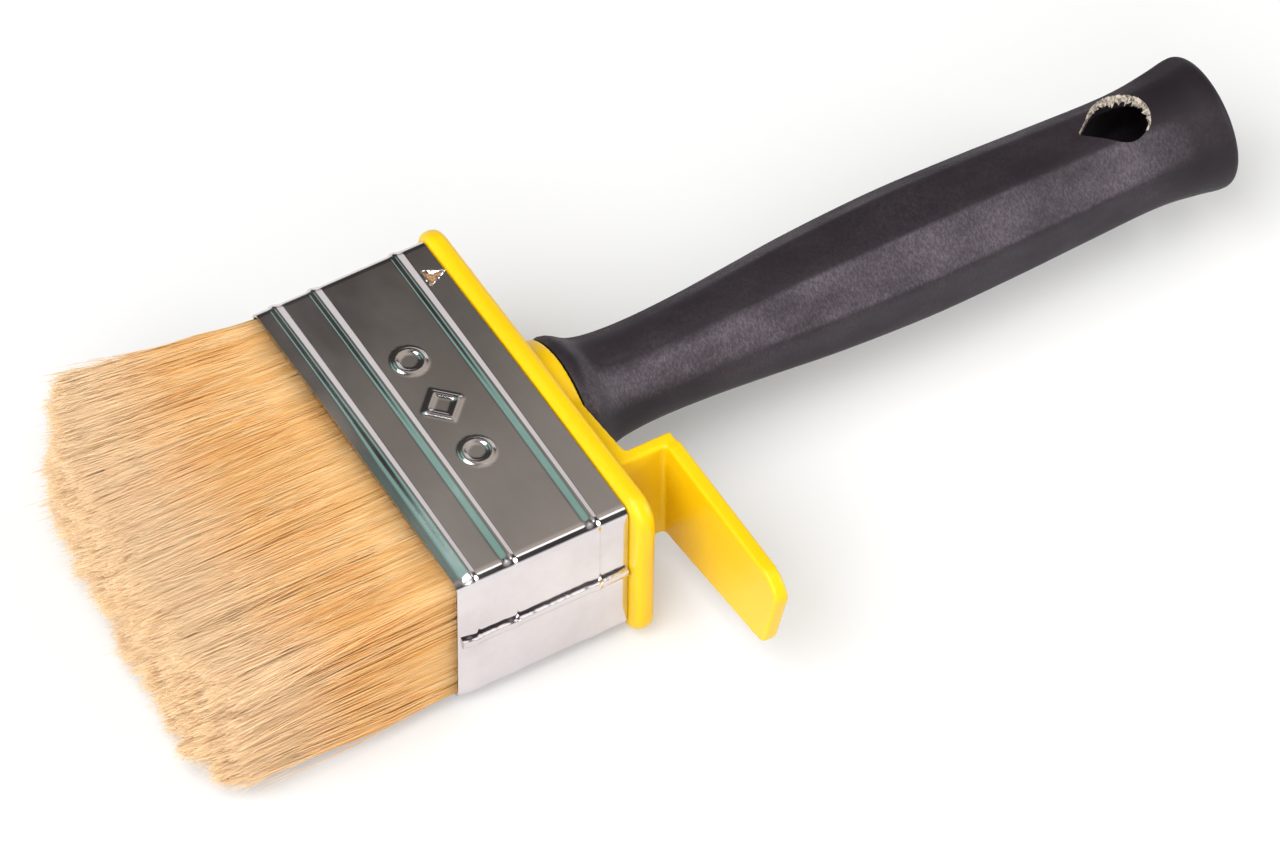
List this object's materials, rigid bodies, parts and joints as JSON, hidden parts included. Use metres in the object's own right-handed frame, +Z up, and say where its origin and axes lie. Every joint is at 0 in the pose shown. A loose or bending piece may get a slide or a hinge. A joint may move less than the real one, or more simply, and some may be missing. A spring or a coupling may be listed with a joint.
{
  "type": "flat block brush",
  "caption": "Flat block paint brush with hog bristle set in a tinplate ferrule, a moulded head with a bucket hook, and a hollow plastic handle.",
  "frame": {"origin": "middle of the brush's outline, on the surface that the brush lies on", "axes": "+X along the brush from the bristle tips to the end of the handle, +Y across its width away from the bucket hook, +Z up through its thickness"},
  "size_m": [0.216, 0.0984, 0.0334],
  "materials": {
    "handle_plastic": "black moulded polypropylene, fine scuffed grain",
    "head_plastic": "lemon yellow moulded plastic, satin",
    "tinplate": "bright rolled tinplate",
    "resin": "cast amber resin",
    "spacer_wood": "plain sawn strip",
    "bristle": "natural hog bristle, pale flagged tips"
  },
  "bodies": {
    "brush": {"handle": "handle_plastic", "head_moulding": "head_plastic", "ferrule": "tinplate", "setting_resin": "resin", "spacer_strip_lower": "spacer_wood", "spacer_strip_upper": "spacer_wood", "bristle_butts_bottom": "bristle", "bristle_butts_middle": "bristle", "bristle_butts_top": "bristle"},
    "tuft": {"bristle_row_bottom": "bristle", "bristle_row_middle": "bristle", "bristle_row_top": "bristle"}
  },
  "joints": [
    {"name": "bristle_flex", "type": "hinge", "parent": "brush", "child": "tuft", "pos_m": [-0.062, 0.01105, 0.0167], "axis": [0, 1, 0], "range_deg": [-20, 20], "stiffness_Nm_per_rad": 1.2}
  ]
}
